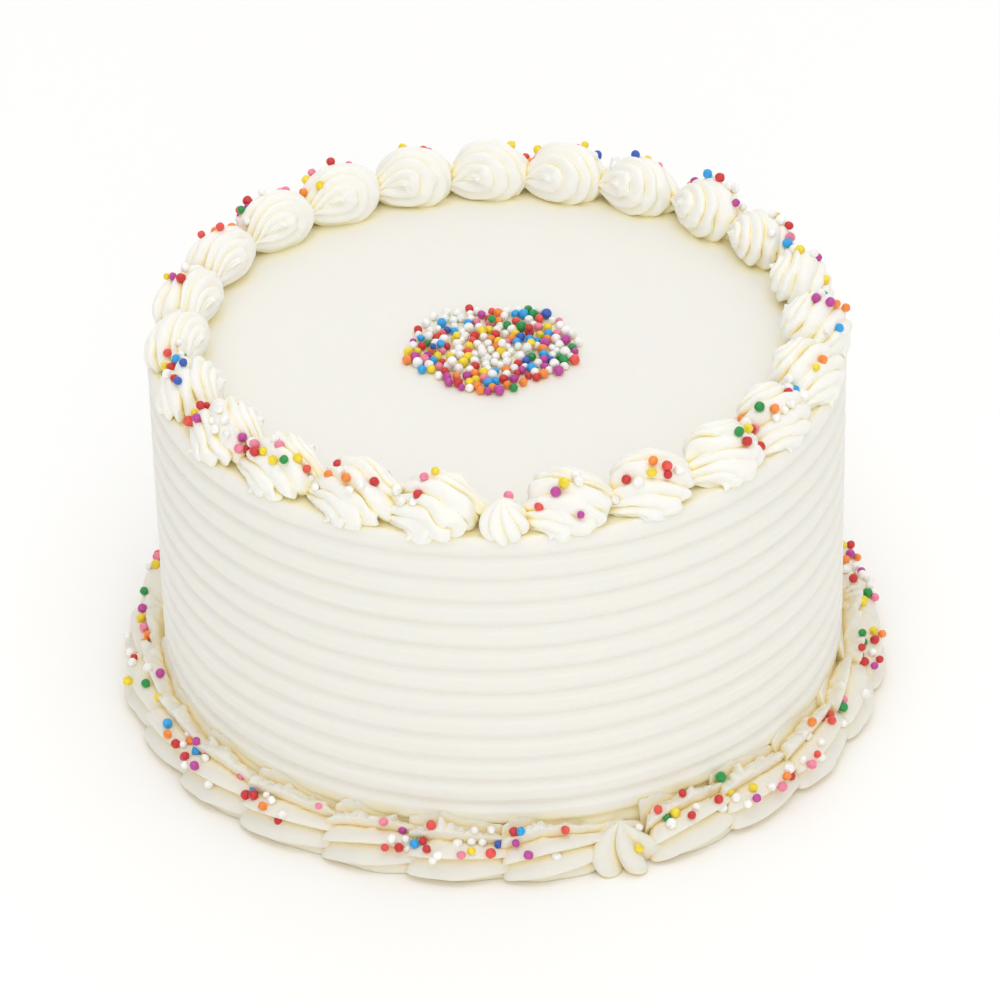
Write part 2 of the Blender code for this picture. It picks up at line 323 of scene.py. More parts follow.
foot_border = Border("bottom_border", 23, 25, 17.5, 8)
foot_border.ring_radius = 0.0995
foot_border.back_shift = 0.0
foot_border.base_height = 0.0
foot_border.centre_height = 0.0036
foot_border.head_length = 0.0120
foot_border.tail_length = 0.0200
foot_border.tail_taper = 0.28
foot_border.lobe_reach = 0.0113
foot_border.lobes = 10
foot_border.first_lobe = math.radians(-14)
foot_border.crease_depth = 0.34
foot_border.crest_angle = math.radians(80)
foot_border.crest_width = 0.32
foot_border.ruffle_folds = 0.0044
foot_border.ruffle_waves = 0.0014
foot_border.ruffle_sink = 0.0009
foot_border.swell = 0.0006
foot_border.star_ring = 0.1025
foot_border.star_radius = 0.0112
foot_border.star_height = 0.0125
foot_border.star_lobes = 6
foot_border.star_crease = 0.52
print("units round the rim:", rim_border.units, "and round the foot:", foot_border.units)

# %% [markdown]
# ## What the teeth of the nozzle do
# The teeth press a crease between two ridges. Round the rim both flanks of a crease are alike, so a
# cosine with a sharp dip is enough. Round the foot each lobe lies half over the next like a petal, so its
# surface sinks slowly and then steps up at a lip. Both are small functions of a turn, which can be drawn
# and tried out on their own before any mesh is made.

# %% Cut ridges and creases
fullness = 0.85


def crease(phase, roundness):
    """0 on the back of a ridge and 1 in the crease between two, as the teeth of a nozzle cut them."""
    return 1 - abs(math.cos(phase)) ** roundness


def fuller(value):
    """A sine or cosine pushed towards 1 and -1, which makes an ellipse fuller."""
    return math.copysign(abs(value) ** fullness, value)


def lobe_edge(share):
    """How far in a lobe's surface is: 0 at its lip, then slowly inwards up to the lip of the next lobe."""
    share = share % 1
    lip = 0.10
    if share < lip:
        return max(1 - share / lip, 0.0) ** 2
    return ((share - lip) / (1 - lip)) ** 1.3


def backness(angle):
    """0 at the front and the sides and 1 at the back of the cake."""
    return max(0.0, -math.cos(angle)) ** 2


def along_ring(border, angle, along, outwards, up):
    """A place near a unit's centre, with its length bent round the ring."""
    radius = border.ring_radius - border.back_shift * backness(angle)
    height = border.base_height + border.centre_height + up
    return round_the_cake(angle + along / radius, radius + outwards, height)


depths = [crease(math.radians(turn), rim_border.crease_roundness) for turn in (0, 45, 90)]
print("crease from ridge to valley:", [round(depth, 2) for depth in depths])

# %% [markdown]
# ## A loop on the rim
# Each loop is a tilted disc of nested hooks, closed at its head, with a thin tail that goes under the
# next one. A rope swept along a curve is the usual way to make piping, but where a rope doubles back its
# turns run through each other. Here a rule gives the point for every place across the disc and every turn
# round its eye, so the loop is one closed skin. Slow noise makes the strands wander, most at the front,
# where the hand smeared them.

# %% Describe a loop of the rim
swell_scale = 150
fine_swell_scale = 520


def noise_seed(draw):
    """A far place in the noise, so that no two units are alike."""
    return Vector((draw.uniform(-50, 50), draw.uniform(-50, 50), draw.uniform(-50, 50)))


class RimLoop:
    """A tilted disc of nested hooks. Its rows go from the outer face over the edge to the inner one."""

    def __init__(self, border, angle):
        draw = border.random
        self.border = border
        self.angle = angle
        self.smear = max(0.0, math.cos(angle)) ** 2
        self.scale = draw.uniform(0.96, 1.03)
        self.yaw = border.yaw + math.radians(draw.uniform(-6, 6))
        self.lean = border.lean + math.radians(draw.uniform(-5, 5))
        self.seed = noise_seed(draw)

    def point(self, side, turn):
        """The side goes from 0 on the outer face to pi on the inner one, the turn once round the eye."""
        border = self.border
        here = Vector((1.5 * math.cos(turn), 1.5 * math.sin(turn), 2.2 * side)) + self.seed
        unevenness = noise.noise(here)
        ridge = side
        bend = border.strand_wander + border.strand_smear * self.smear
        side += bend * math.sin(side) * noise.noise(here * 0.8 + Vector((9, 0, 0)))
        inwards = -math.cos(side)
        inner = 0.5 + 0.5 * math.tanh(2.5 * inwards)
        tailness = inner * (1 - math.cos(turn)) / 2 + (1 - inner) * (1 + math.cos(turn)) / 2
        tailness *= min(1.0, 2 * abs(inwards))
        depth = border.crease_depth * (1 + border.crease_unevenness * unevenness)
        full = 1 - depth * crease(border.ridges * ridge, border.crease_roundness)
        length = border.head_length + (border.tail_length - border.head_length) * tailness
        spread = math.sin(side) ** (1 - 0.5 * tailness) * full
        along = -length * fuller(math.cos(turn)) * spread
        along += border.eye_shift * inwards * abs(inwards)
        height = border.half_height * (1 + border.back_growth * backness(self.angle))
        thinning = abs(math.sin(turn)) ** (border.tail_thinning * tailness)
        rise = height * fuller(math.sin(turn)) * thinning * full * math.sin(side)
        across = border.half_width * fuller(math.cos(side)) * (0.7 + 0.3 * full)
        across *= 1 - border.tail_narrowing * tailness
        outwards = across * math.cos(self.lean) - rise * math.sin(self.lean)
        up = across * math.sin(self.lean) + rise * math.cos(self.lean)
        up -= border.droop * max(0.0, outwards / border.half_width) ** 2
        up -= border.tail_droop * inner * max(0.0, along / border.tail_length) ** 2
        place = Vector((along * math.cos(self.yaw) - outwards * math.sin(self.yaw),
                        along * math.sin(self.yaw) + outwards * math.cos(self.yaw), up)) * self.scale
        swell = noise.noise(place * swell_scale + self.seed) * border.swell
        swell += noise.noise(place * fine_swell_scale + self.seed) * border.fine_swell
        place += place.normalized() * swell * (1 + 1.2 * self.smear)
        return along_ring(border, self.angle, place.x, place.y, place.z)


print("a loop is", round(2000 * rim_border.half_height), "mm high at the front")

# %% [markdown]
# ## A shell at the foot
# Round the foot the nozzle was pushed against the corner and pulled along: a blunt head, long lobes, and
# a tail that goes under the next head. Where the icing was pressed against the cake it ruffles into a
# ragged crest. A Displace modifier could ruffle it, but it would also soften the lips of the lobes, so
# the ruffle is a part of the rule and works only along the crest.

# %% Describe a shell of the foot
class FootShell:
    """A shell of long lobes. Its rows go from the tip of the head to the end of the tail."""

    def __init__(self, border, angle):
        draw = border.random
        self.border = border
        self.angle = angle
        self.scale = draw.uniform(0.96, 1.03)
        self.twist = draw.uniform(0.0, 0.25)
        self.peak = draw.uniform(0.0, 0.0022)
        self.peak_place = draw.uniform(-0.004, 0.008)
        self.seed = noise_seed(draw)

    def point(self, row, turn):
        """The row goes from 0 at the head to pi at the tail, and the turn from outwards over the top."""
        border = self.border
        groove = lobe_edge(border.lobes * (turn - border.first_lobe) / (2 * math.pi))
        turn += self.twist * (row - 1)
        if row < math.pi / 2:
            along = -border.head_length * math.cos(row) * (1 - 0.15 * groove)
            size = math.sin(row) ** 0.13
        else:
            along = -border.tail_length * math.cos(row)
            size = math.sin(row) ** 0.35 * (1 - border.tail_taper * along / border.tail_length)
        reach = border.lobe_reach * size * (1 - border.crease_depth * groove)
        outwards = reach * math.cos(turn)
        up = reach * math.sin(turn) * (1.06 if math.sin(turn) > 0 else 0.8)
        crest = math.exp(-((turn - border.crest_angle) / border.crest_width) ** 2)
        up += crest * size * self.peak * math.exp(-((along - self.peak_place) / 0.003) ** 2)
        place = Vector((along, outwards, up)) * self.scale
        swell = noise.noise(place * swell_scale + self.seed) * border.swell
        wave = noise.noise(Vector((along * 360, turn * 2.0, 0)) + self.seed)
        ruffle = border.ruffle_folds * abs(wave) + border.ruffle_waves * wave - border.ruffle_sink
        place += place.normalized() * (swell + ruffle * crest)
        return along_ring(border, self.angle, place.x, place.y, place.z)


print("a shell has", foot_border.lobes, "lobes")

# %% [markdown]
# ## From the rules to meshes
# A rule can be asked for a point anywhere, so the only choice left is where to ask. Even steps suit the
# loops. On the shells they would waste points on the flanks and blunt the lips, so the steps lie close
# together at each lip, and far apart where a lobe is hidden.

# %% Make a loop or a shell
def lobe_turns(border):
    """Turns that lie close together at the lips of the lobes that show, and far apart on the others."""
    fine = (0.0, 0.035, 0.07, 0.11, 0.20, 0.34, 0.50, 0.66, 0.80, 0.91, 0.97)
    coarse = (0.0, 0.3, 0.65)
    turns = []
    for lobe in range(border.lobes):
        shares = fine if lobe < 5 or lobe == border.lobes - 1 else coarse
        turns += [border.first_lobe + 2 * math.pi * (lobe + share) / border.lobes for share in shares]
    return turns


rim_border.rows = even_steps(80, math.pi)[1:]
rim_border.turns = even_steps(50, 2 * math.pi)
foot_border.rows = even_steps(45, math.pi)[1:]
foot_border.turns = lobe_turns(foot_border)


def make_unit(unit, pieces):
    """One unit as a closed piece in a collection."""
    rings = [[unit.point(row, turn) for turn in unit.border.turns] for row in unit.border.rows]
    near_end = 0.0001
    tips = [unit.point(near_end, 0), unit.point(math.pi - near_end, 0)]
    piece = closed_piece("unit", rings, tips)
    bpy.context.scene.collection.objects.unlink(piece)
    pieces.objects.link(piece)


for border in (rim_border, foot_border):
    print(f"each unit of {border.node} has {len(border.rows)} rings of {len(border.turns)} points")

# %% [markdown]
# ## A star where the ring is joined
# The last gap of each ring was closed with a small star, with the nozzle held upright and lifted straight
# off, which twists its lobes a little. It could be a cone cut with grooves, but a rule like the ones
# above gives the lobes and the twist at once.

# %% Make the star
def make_star(border):
    """The star that closes the ring: lobes that twist a little as they narrow to the tip."""
    rows = 20
    columns = 64

    def star_point(level, turn):
        share = math.sin(math.pi * (0.16 + 0.84 * level)) ** 0.8
        lobe = 1 - border.star_crease * crease(border.star_lobes * turn / 2, 0.8)
        reach = border.star_radius * max(0.03, share) * lobe
        twisted = turn + 0.9 * level
        angle = border.join_angle + reach * math.cos(twisted) / border.star_ring
        height = border.base_height + border.star_height * (1.25 * level - 0.25)
        return round_the_cake(angle, border.star_ring + reach * math.sin(twisted), height)

    levels = [row / (rows - 1) for row in range(rows)]
    turns = even_steps(columns, 2 * math.pi)
    rings = [[star_point(level, turn) for turn in turns] for level in levels]
    tips = []
    for share in (-0.26, 1.02):
        tip_height = border.base_height + share * border.star_height
        tips.append(round_the_cake(border.join_angle, border.star_ring, tip_height))
    return closed_piece(border.node + "_star", rings, tips)


print("lobes of the stars:", rim_border.star_lobes, "and", foot_border.star_lobes)

# %% [markdown]
# ## Fuse and cut
# The units could simply lie through each other, but fused into one skin they meet in clean creases, as
# soft icing does. A Boolean modifier can join a whole collection at once. A second one cuts away what
# lies inside the cake, so that the ring rests on it. A cut may leave small loose scraps, so only the
# largest connected skin is kept.

# %% Fuse a ring and cut it
sharp_angle = math.radians(55)


def turned_piece(name, outline, steps):
    """The solid that an outline from the axis back to the axis sweeps round it."""
    angles = even_steps(steps, 2 * math.pi)
    rings = []
    for radius, height in outline[1:-1]:
        rings.append([round_the_cake(angle, radius, height) for angle in angles])
    poles = [Vector((0, 0, outline[0][1])), Vector((0, 0, outline[-1][1]))]
    return closed_piece(name, rings, poles)


def keep_one_skin(data):
    """Drops the small scraps that a cut leaves, and keeps the largest connected skin."""
    mesh = bmesh.new()
    mesh.from_mesh(data)
    unseen = set(mesh.verts)
    skins = []
    while unseen:
        skin = [unseen.pop()]
        for vertex in skin:
            for edge in vertex.link_edges:
                beside = edge.other_vert(vertex)
                if beside in unseen:
                    unseen.remove(beside)
                    skin.append(beside)
        skins.append(skin)
    skins.sort(key=len)
    scraps = [vertex for skin in skins[:-1] for vertex in skin]
    bmesh.ops.delete(mesh, geom=scraps, context="VERTS")
    mesh.to_mesh(data)
    mesh.free()


def fuse_and_cut(piece, pieces, cutter):
    """Joins a collection to a piece, cuts it, and removes what it was made with."""
    join = piece.modifiers.new("join", "BOOLEAN")
    join.operation = "UNION"
    join.operand_type = "COLLECTION"
    join.collection = pieces
    join.solver = "MANIFOLD"
    cut = piece.modifiers.new("cut", "BOOLEAN")
    cut.operation = "DIFFERENCE"
    cut.object = cutter
    cut.solver = "MANIFOLD"
    graph = bpy.context.evaluated_depsgraph_get()
    fused = bpy.data.meshes.new_from_object(piece.evaluated_get(graph))
    fused.materials.clear()
    keep_one_skin(fused)
    piece.modifiers.clear()
    piece.data = fused
    for item in list(pieces.objects) + [cutter]:
        bpy.data.objects.remove(item)
    bpy.data.collections.remove(pieces)
    fused.shade_smooth()
    fused.set_sharp_from_angle(angle=sharp_angle)


print("edges sharper than", round(math.degrees(sharp_angle)), "degrees stay sharp after a cut")

# %% [markdown]
# ## Pipe both borders
# Now each border is piped from its join all the way round and back. Every unit gets its own seed and is
# set a little off its even place, because a hand never keeps perfect time. What the ring is cut with
# lies half a millimetre inside the top, the rim and the valleys of the side, so that no gap shows under
# the icing.

# %% Pipe the borders
sunk = 0.0005


def pipe_border(border, unit_kind, hub_share, cutter_outline):
    """A whole border, fused to one skin."""
    pieces = bpy.data.collections.new(border.node + "_units")
    bpy.context.scene.collection.children.link(pieces)
    border.made = []
    for number in range(border.units):
        start = border.join_angle + border.join_width / 2 + border.pitch * number
        angle = start + border.pitch * hub_share + math.radians(border.random.uniform(-0.6, 0.6))
        unit = unit_kind(border, angle)
        border.made.append(unit)
        make_unit(unit, pieces)
    ring = make_star(border)
    ring.name = border.node + "_piping"
    fuse_and_cut(ring, pieces, turned_piece("cutter", cutter_outline, 180))
    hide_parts(border.node)
    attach(ring, "root")
    ring.data.calc_loop_triangles()
    print(f"{ring.name}: {border.units} units, {len(ring.data.loop_triangles)} triangles")
    return ring


def rim_cutter():
    """The top and rim of the cake, a little sunk, so that the shells rest on them without a gap."""
    radius = cake_radius - sunk
    height = top_height - sunk
    outline = [(0, height - 0.030), (radius, height - 0.030)]
    for step in range(5):
        turn = math.radians(90) * step / 4
        inwards = rim_round * (1 - math.cos(turn))
        down = rim_round * (1 - math.sin(turn))
        outline.append((radius - inwards, height - down))
    return outline + [(0, height)]


def foot_cutter():
    """The side of the cake, a little sunk, and all that is lower than its base."""
    radius = cake_radius - comb_depth - sunk
    wide = cake_radius + 0.040
    return [(0, -0.030), (wide, -0.030), (wide, 0.0), (radius, 0.0), (radius, 0.050), (0, 0.050)]


rim_piping = pipe_border(rim_border, RimLoop, 0.5, rim_cutter())
foot_piping = pipe_border(foot_border, FootShell, 0.45, foot_cutter())

# %% [markdown]
# ## Sugar pearls
# The pearls are tiny sugar balls of 2 to 3.3 mm, never quite round, in ten colours, of which white comes
# most often. Each pearl is drawn from the jar with its own size and colour. A list of shares next to the
# colours keeps the mix easy to change.

# %% Fill the jar
pearl_colours = {
    "white": (0.46, (0.95, 0.94, 0.90)),
    "red": (0.12, (0.62, 0.028, 0.032)),
    "coral": (0.06, (0.82, 0.085, 0.070)),
    "pink": (0.07, (0.86, 0.24, 0.36)),
    "orange": (0.09, (0.95, 0.27, 0.040)),
    "yellow": (0.10, (0.90, 0.70, 0.030)),
    "green": (0.05, (0.012, 0.30, 0.060)),
    "azure": (0.07, (0.022, 0.38, 0.82)),
    "blue": (0.02, (0.03, 0.11, 0.50)),
    "purple": (0.09, (0.52, 0.055, 0.34)),
}
smallest_pearl = 0.00098
pearl_range = 0.00062


class Pearl:
    """Where one pearl lies, its radius and its colour."""

    def __init__(self, centre, radius, colour):
        self.centre = centre
        self.radius = radius
        self.colour = colour


def draw_colour(draw):
    """A colour by how often it comes in the jar."""
    names = list(pearl_colours)
    return draw.choices(names, [pearl_colours[name][0] for name in names])[0]


def draw_radius(draw):
    """Most pearls are of middling size, and a few are the smallest or the largest."""
    return smallest_pearl + pearl_range * draw.betavariate(2.4, 2.0)


print("colours in the jar:", ", ".join(pearl_colours))

# %% [markdown]
# ## Where a pearl comes to rest
# A pearl falls until it meets icing and stays there. A rigid body simulation could drop all of them, but
# it is slow and would roll many off. A ray that is cast at the icing finds the place at once, and a pearl
# that would sit inside another is thrown away. One search tree over all three pieces of icing keeps the
# rays quick.

# %% Find places for pearls
def tree_of(pieces):
    """A search tree over several pieces, for the rays."""
    points = []
    faces = []
    for piece in pieces:
        first = len(points)
        points += [vertex.co.copy() for vertex in piece.data.vertices]
        faces += [[first + index for index in face.vertices] for face in piece.data.polygons]
    return BVHTree.FromPolygons(points, faces)


def icing_under(tree, start, direction):
    """Where a ray first meets the icing, and the way the icing faces there."""
    place, normal, _, _ = tree.ray_cast(start, direction.normalized())
    return place, normal


def has_room(pearls, centre, radius, squeeze):
    """Whether a pearl fits beside the others."""
    for pearl in pearls:
        if (pearl.centre - centre).length <= squeeze * (pearl.radius + radius):
            return False
    return True


def in_plain_box(centre, radius):
    """Whether a pearl stays inside the box of the plain solid."""
    low, high = plain_box
    for axis in range(3):
        if centre[axis] - radius <= low[axis] or centre[axis] + radius >= high[axis]:
            return False
    return True


icing_tree = tree_of([iced_body, rim_piping, foot_piping])
top_place, _ = icing_under(icing_tree, Vector((0, 0, 0.2)), Vector((0, 0, -1)))
print("the icing is", round(1000 * top_place.z, 1), "mm high in the middle")

# %% [markdown]
# ## A patch and clusters
# Someone has dropped a pinch in the middle of the top and more along both borders, where the pearls
# gather between the units. Particles would scatter them evenly, which looks machine-made. So the patch
# has a ragged edge and grows thinner towards it, with a few pearls on top of the others, and each unit of
# a border gets a small crowd round a heart of its own.

# %% Strew the pearls
patch_middle = Vector((-0.0013, -0.0037, 0))
patch_half_width = 0.0242
patch_half_depth = 0.0212
patch_tries = 9000
patch_squeeze = 0.88
patch_stand_off = 0.93
stacked_tries = 44
stacked_squeeze = 0.8
stacked_reach = 0.017
cluster_tries = 60
cluster_squeeze = 0.85
cluster_stand_off = 0.72
cluster_spread = 0.30


def patch_reach(angle):
    """The uneven edge of the patch on the top: wider from left to right than from front to back."""
    ragged = 1 + 0.05 * math.sin(3 * angle + 0.6) + 0.05 * math.sin(5 * angle + 3.3)
    ragged += 0.02 * math.sin(8 * angle)
    return ragged / math.hypot(math.cos(angle) / patch_half_width, math.sin(angle) / patch_half_depth)


def strew_patch(tree, draw):
    """The patch in the middle of the top: one crowded layer, with a few pearls on top of it."""
    pearls = []
    for _ in range(patch_tries):
        angle = draw.uniform(0, 2 * math.pi)
        share = math.sqrt(draw.random())
        if draw.random() < max(0.0, share - 0.76) * 3.0:
            continue
        radius = draw_radius(draw)
        spot = patch_middle + Vector((math.cos(angle), math.sin(angle), 0)) * share * patch_reach(angle)
        place, _ = icing_under(tree, spot + Vector((0, 0, 0.2)), Vector((0, 0, -1)))
        centre = place + Vector((0, 0, patch_stand_off * radius))
        if has_room(pearls, centre, radius, patch_squeeze):
            pearls.append(Pearl(centre, radius, draw_colour(draw)))
    for _ in range(stacked_tries):
        under = draw.choice(pearls)
        radius = draw_radius(draw)
        step = Vector((draw.uniform(-1, 1), draw.uniform(-1, 1), 0)) * 0.0014
        centre = under.centre + step + Vector((0, 0, 1.45 * under.radius))
        near_middle = (under.centre - patch_middle).to_2d().length < stacked_reach
        if near_middle and has_room(pearls, centre, radius, stacked_squeeze):
            pearls.append(Pearl(centre, radius, draw_colour(draw)))
    return pearls


def strew_border(border, tree, draw, per_unit, tilt_range):
    """Clusters along a border: a few pearls near the back of each unit and in the dip beside it."""
    pearls = []
    for unit in border.made:
        crowd = draw.randint(*per_unit)
        heart = unit.angle + draw.uniform(-0.5, 0.5) * border.pitch
        found = 0
        for _ in range(cluster_tries):
            if found >= crowd:
                break
            angle = heart + draw.gauss(0, cluster_spread) * border.pitch
            tilt = math.radians(draw.uniform(*tilt_range))
            aim_radius = border.ring_radius + draw.gauss(0.0010, 0.0022)
            aim = round_the_cake(angle, aim_radius, border.base_height + 0.006)
            away = round_the_cake(angle, math.sin(tilt), math.cos(tilt))
            place, normal = icing_under(tree, aim + away * 0.05, -away)
            if place is None or place.z < border.base_height + 0.001:
                continue
            radius = draw_radius(draw)
            centre = place + normal * radius * cluster_stand_off
            if in_plain_box(centre, radius) and has_room(pearls, centre, radius, cluster_squeeze):
                pearls.append(Pearl(centre, radius, draw_colour(draw)))
                found += 1
    return pearls


strewing = random.Random(77)
all_pearls = strew_patch(icing_tree, strewing)
print("pearls in the patch:", len(all_pearls))
all_pearls += strew_border(rim_border, icing_tree, strewing, (6, 11), (-10, 55))
all_pearls += strew_border(foot_border, icing_tree, strewing, (6, 12), (25, 75))
print("pearls in all:", len(all_pearls))

# %% [markdown]
# ## Balls for the pearls
# A pearl is a small ball with low dents. One ball of 320 faces is made once, and each pearl is a copy
# with its own size, turn and stretch. All the points of a colour are gathered before the mesh is made,
# which is much quicker than joining hundreds of objects.

# %% Make the pearls
def unit_ball():
    """The points and faces of a ball of radius 1."""
    mesh = bmesh.new()
    bmesh.ops.create_icosphere(mesh, subdivisions=3, radius=1)
    points = np.array([vertex.co[:] for vertex in mesh.verts])
    faces = np.array([[vertex.index for vertex in face.verts] for face in mesh.faces])
    mesh.free()
    return points, faces


def make_pearls(colour, pearls, draw):
    """All the pearls of one colour as one piece."""
    ball, ball_faces = unit_ball()
    dent_depth = 0.035
    dent_direction = np.array([1.0, 1.7, -1.3])
    points = []
    faces = []
    for number, pearl in enumerate(pearls):
        roll = Matrix.Rotation(draw.uniform(0, 6.28), 3, "X")
        turn = roll @ Matrix.Rotation(draw.uniform(0, 6.28), 3, "Z")
        stretch = np.diag([draw.uniform(0.93, 1.03) for _ in range(3)])
        dents = 1 + dent_depth * np.sin(2.3 * ball @ dent_direction + draw.uniform(0, 6.28))
        shaped = (ball * dents[:, None]) @ stretch @ np.array(turn)
        points.append(shaped * pearl.radius + np.array(pearl.centre))
        faces.append(ball_faces + number * len(ball))
    points = np.concatenate(points).tolist()
    faces = np.concatenate(faces).tolist()
    piece = mesh_piece("pearls_" + colour, points, faces)
    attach(piece, "root")
    return piece


pearl_pieces = {}
for colour in pearl_colours:
    of_colour = [pearl for pearl in all_pearls if pearl.colour == colour]
    pearl_pieces[colour] = make_pearls(colour, of_colour, strewing)
    print(f"{colour}: {len(of_colour)} pearls")

# %% [markdown]
# ## Finishes from a few nodes
# Every finish here is the standard shader with its sockets set, some noise that makes it uneven, and a
# colour ramp that turns a number into a colour. Painted textures could do it too, but a few nodes stay
# sharp at any distance and can be changed with one number. These three helpers are shared by the icing
# and the pearls.

# %% Make finishes
def new_finish(name, settings):
    """A new material, with its shader set; gives the material, its node tree and the shader."""
    material = bpy.data.materials.new(name)
    material.use_nodes = True
    shader = material.node_tree.nodes["Principled BSDF"]
    for socket, value in settings.items():
        shader.inputs[socket].default_value = value
    return material, material.node_tree, shader


def fine_noise(tree, scale, detail):
    """Noise that is fixed to the piece, so it stays put in every view."""
    place = tree.nodes.new("ShaderNodeTexCoord")
    texture = tree.nodes.new("ShaderNodeTexNoise")
    texture.inputs["Scale"].default_value = scale
    texture.inputs["Detail"].default_value = detail
    tree.links.new(place.outputs["Object"], texture.inputs["Vector"])
    return texture


def colour_steps(tree, stops):
    """A colour ramp from the first to the last of its stops, each a position and a colour."""
    ramp = tree.nodes.new("ShaderNodeValToRGB")
    elements = ramp.color_ramp.elements
    for number, (position, colour) in enumerate(stops):
        if number in (0, len(stops) - 1):
            stop = elements[0 if number == 0 else -1]
            stop.position = position
        else:
            stop = elements.new(position)
        stop.color = (*colour, 1)
    return ramp


print("pieces that wait for a finish:", len([iced_body, rim_piping, foot_piping]) + len(pearl_pieces))

# %% [markdown]
# ## Buttercream
# Buttercream is fat and sugar: light goes a few millimetres into it and comes out softer and warmer, so a
# deep crease looks yellow and not grey. Subsurface scattering gives the soft edges. The warm creases
# could come from more light bounces alone, but that takes very many, so the creases get painted light
# instead: where the surface is closed in, which the Ambient Occlusion node measures, the colour turns
# lighter and yellow, which stands in for the warm bounced light there and makes up for the shade. A
# fine bump stands for sugar grain and tiny air holes.

# %% Mix the buttercream
def buttercream(name, open_colour, painted_crease_light, painted_deep_crease_light, painted_light_reach, grain_size, grain_height):
    """Soft off-white icing, with painted warm light in its creases where the surface is closed in."""
    material, tree, shader = new_finish(name, {
        "Roughness": 0.48,
        "Specular IOR Level": 0.35,
        "Subsurface Weight": 0.35,
        "Subsurface Radius": (1.0, 0.75, 0.42),
        "Subsurface Scale": 0.0022,
    })
    # Painted light: where the AO node finds the surface closed in, the base colour turns lighter and
    # yellow, for the warm bounced light in the creases.
    closed_in = tree.nodes.new("ShaderNodeAmbientOcclusion")
    closed_in.samples = 8
    closed_in.inputs["Distance"].default_value = painted_light_reach
    steps = colour_steps(tree, [(0.20, painted_deep_crease_light), (0.52, painted_crease_light), (0.86, open_colour)])
    steps.color_ramp.interpolation = "EASE"
    tree.links.new(closed_in.outputs["AO"], steps.inputs["Fac"])
    tree.links.new(steps.outputs["Color"], shader.inputs["Base Color"])

    grain = fine_noise(tree, 1 / grain_size, 4)
    bump = tree.nodes.new("ShaderNodeBump")
    bump.inputs["Strength"].default_value = 1.0
    bump.inputs["Distance"].default_value = grain_height
    tree.links.new(grain.outputs["Fac"], bump.inputs["Height"])
    tree.links.new(bump.outputs["Normal"], shader.inputs["Normal"])
    return material


spread_icing = buttercream(
    "spread_buttercream", open_colour=(0.866, 0.852, 0.799), painted_crease_light=(0.94, 0.90, 0.73),
    painted_deep_crease_light=(0.97, 0.89, 0.60), painted_light_reach=0.0070, grain_size=0.0022, grain_height=0.00006)
piping_icing = buttercream(
    "piped_buttercream", open_colour=(0.925, 0.912, 0.862), painted_crease_light=(0.98, 0.94, 0.78),
    painted_deep_crease_light=(0.99, 0.86, 0.45), painted_light_reach=0.0040, grain_size=0.0015, grain_height=0.00009)
# Painted shade: the foot's icing is the same buttercream with a darker open colour and dimmer creases, for
# the dimmer light round the foot.
shaded_foot_icing = buttercream(
    "foot_buttercream_painted_shade", open_colour=(0.805, 0.788, 0.718), painted_crease_light=(0.91, 0.85, 0.68),
    painted_deep_crease_light=(0.95, 0.82, 0.52), painted_light_reach=0.0045, grain_size=0.0015, grain_height=0.00009)
iced_body.data.materials.append(spread_icing)
rim_piping.data.materials.append(piping_icing)
foot_piping.data.materials.append(shaded_foot_icing)
print("icing mixed")

# %% [markdown]
# ## The glaze on the pearls
# Sugar pearls are tumbled in syrup until they shine. Their colour is strong but a little uneven, and
# light gets just under the surface. One recipe makes every colour, so the whole handful looks like it
# came from one jar.

# %% Glaze the pearls
def pearl_glaze(name, colour):
    """A shiny coloured sugar shell with faint mottling."""
    material, tree, shader = new_finish(name, {
        "Roughness": 0.28,
        "Specular IOR Level": 0.5,
        "Subsurface Weight": 0.12,
        "Subsurface Radius": (1.0, 0.8, 0.6),
        "Subsurface Scale": 0.0006,
    })
    darker = [0.86 * part for part in colour]
    lighter = [min(1.0, 1.08 * part + 0.01) for part in colour]
    mottle = fine_noise(tree, 700, 2)
    shades = colour_steps(tree, [(0.30, darker), (0.65, lighter)])
    tree.links.new(mottle.outputs["Fac"], shades.inputs["Fac"])
    tree.links.new(shades.outputs["Color"], shader.inputs["Base Color"])
    return material


for colour, piece in pearl_pieces.items():
    piece.data.materials.append(pearl_glaze("glaze_" + colour, pearl_colours[colour][1]))
print("glazed", len(pearl_pieces), "colours")

# %% [markdown]
# ## The table
# The cake was photographed on white. A floor that is much wider than the picture has no edge to see, and
# it is no part of the cake. A shadow catcher would leave out the light that a real table throws
# back on the lower shells.

# %% Set the table
def white_table():
    """A wide plain floor that isn't part of the cake."""
    wide = 4.0
    height = -0.0002
    corners = [(-wide, -wide, height), (wide, -wide, height), (wide, wide, height), (-wide, wide, height)]
    table = mesh_piece("table", corners, [(0, 1, 2, 3)])
    white = {"Base Color": (0.99, 0.99, 0.985, 1), "Roughness": 0.9}
    table.data.materials.append(new_finish("white_table", white)[0])


white_table()

# %% [markdown]
# ## The light
# The light is very soft and comes from nearly everywhere, with a little more from above and in front. A
# bright world that is dimmer to the left and the right does most of it, which shades the sides, and two
# large lamps lift the top and the front. Lamps alone would need to be many to give shadows as soft as
# these.

# %% Set the light
def soft_lamp(name, place, target, size, power):
    """A large square lamp that points at a target."""
    data = bpy.data.lights.new(name, "AREA")
    data.size = size
    data.energy = power
    lamp = bpy.data.objects.new(name, data)
    bpy.context.scene.collection.objects.link(lamp)
    lamp.location = place
    lamp.rotation_euler = (Vector(target) - Vector(place)).to_track_quat("-Z", "Y").to_euler()


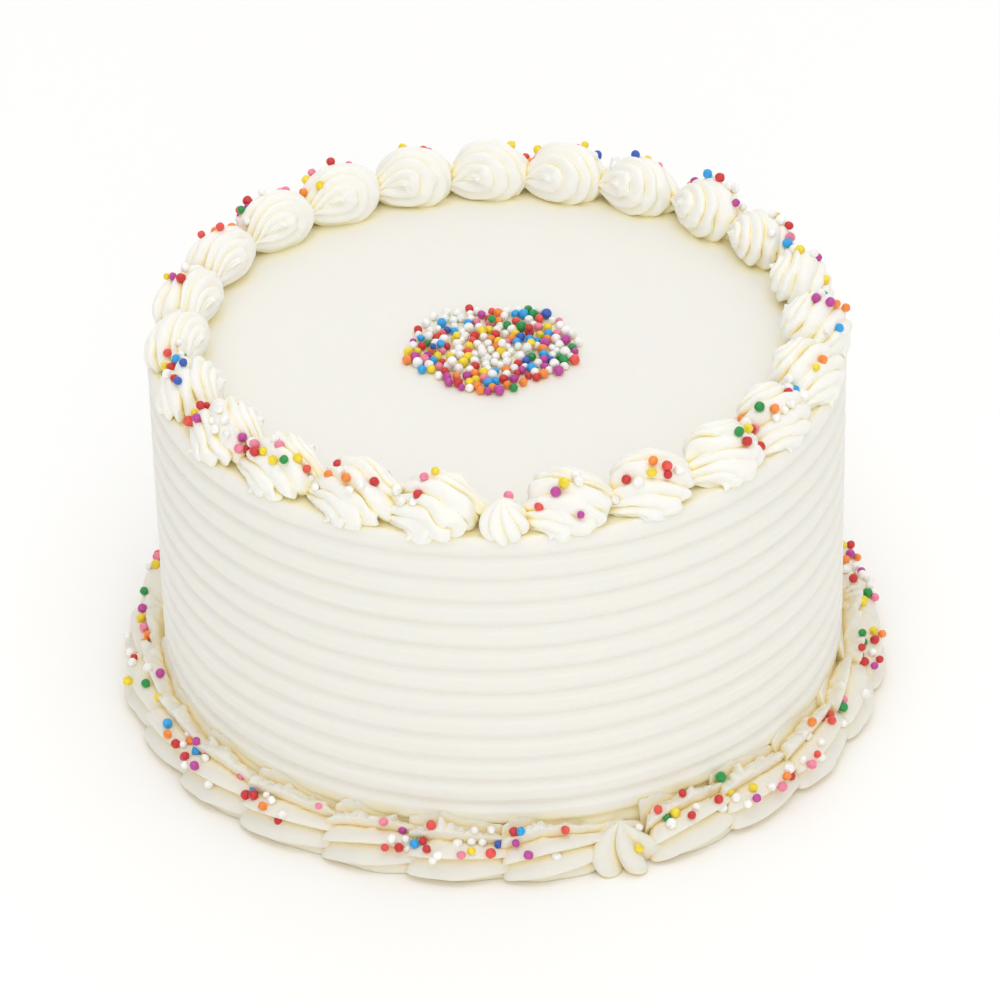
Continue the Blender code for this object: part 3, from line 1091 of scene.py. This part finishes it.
def light_the_room(tree, strength):
    """A bright room that is dimmer to the left and the right, the left most."""
    direction = tree.nodes.new("ShaderNodeTexCoord")
    parts = tree.nodes.new("ShaderNodeSeparateXYZ")
    across = tree.nodes.new("ShaderNodeMapRange")
    across.inputs["From Min"].default_value = -1
    left = (0.56, 0.55, 0.53)
    right = (0.68, 0.67, 0.65)
    dimness = colour_steps(tree, [(0.0, left), (0.5, (1.0, 1.0, 1.0)), (1.0, right)])
    dimness.color_ramp.interpolation = "EASE"
    background = tree.nodes["Background"]
    background.inputs["Strength"].default_value = strength
    tree.links.new(direction.outputs["Generated"], parts.inputs["Vector"])
    tree.links.new(parts.outputs["X"], across.inputs["Value"])
    tree.links.new(across.outputs["Result"], dimness.inputs["Fac"])
    tree.links.new(dimness.outputs["Color"], background.inputs["Color"])


world = bpy.data.worlds.new("bright_room")
bpy.context.scene.world = world
world.use_nodes = True
light_the_room(world.node_tree, strength=1.07)
cake_middle = (0, 0, 0.05)
soft_lamp("lamp_above", (0.0, -0.5, 1.9), cake_middle, size=1.4, power=5.4)
soft_lamp("lamp_front", (0.2, -2.4, 1.0), cake_middle, size=1.4, power=3.2)
bpy.context.scene.view_settings.view_transform = "Standard"
bpy.context.scene.view_settings.look = "None"

# %% [markdown]
# ## The camera
# The photograph was taken from in front, looking down at about 34 degrees through a long lens, with the
# camera a touch off level. These values were worked out from how the comb's circles look as ellipses.

# %% Place the camera
camera_height_angle = math.radians(34.07)
camera_distance = 1.600
camera_roll = math.radians(-1.39)
look_at = Vector((-0.0001, 0.0, 0.05396))
focal_pixels = 5606
picture_side = 1000

camera_data = bpy.data.cameras.new("camera")
camera_data.sensor_width = 36
camera_data.lens = 36 * focal_pixels / picture_side
camera = bpy.data.objects.new("camera", camera_data)
bpy.context.scene.collection.objects.link(camera)
back = Vector((0, -math.cos(camera_height_angle), math.sin(camera_height_angle)))
camera.location = look_at + back * camera_distance
aim = (-back).to_track_quat("-Z", "Y").to_matrix().to_4x4()
camera.rotation_euler = (aim @ Matrix.Rotation(camera_roll, 4, "Z")).to_euler()
bpy.context.scene.camera = camera
print("lens:", round(camera_data.lens, 1), "mm")
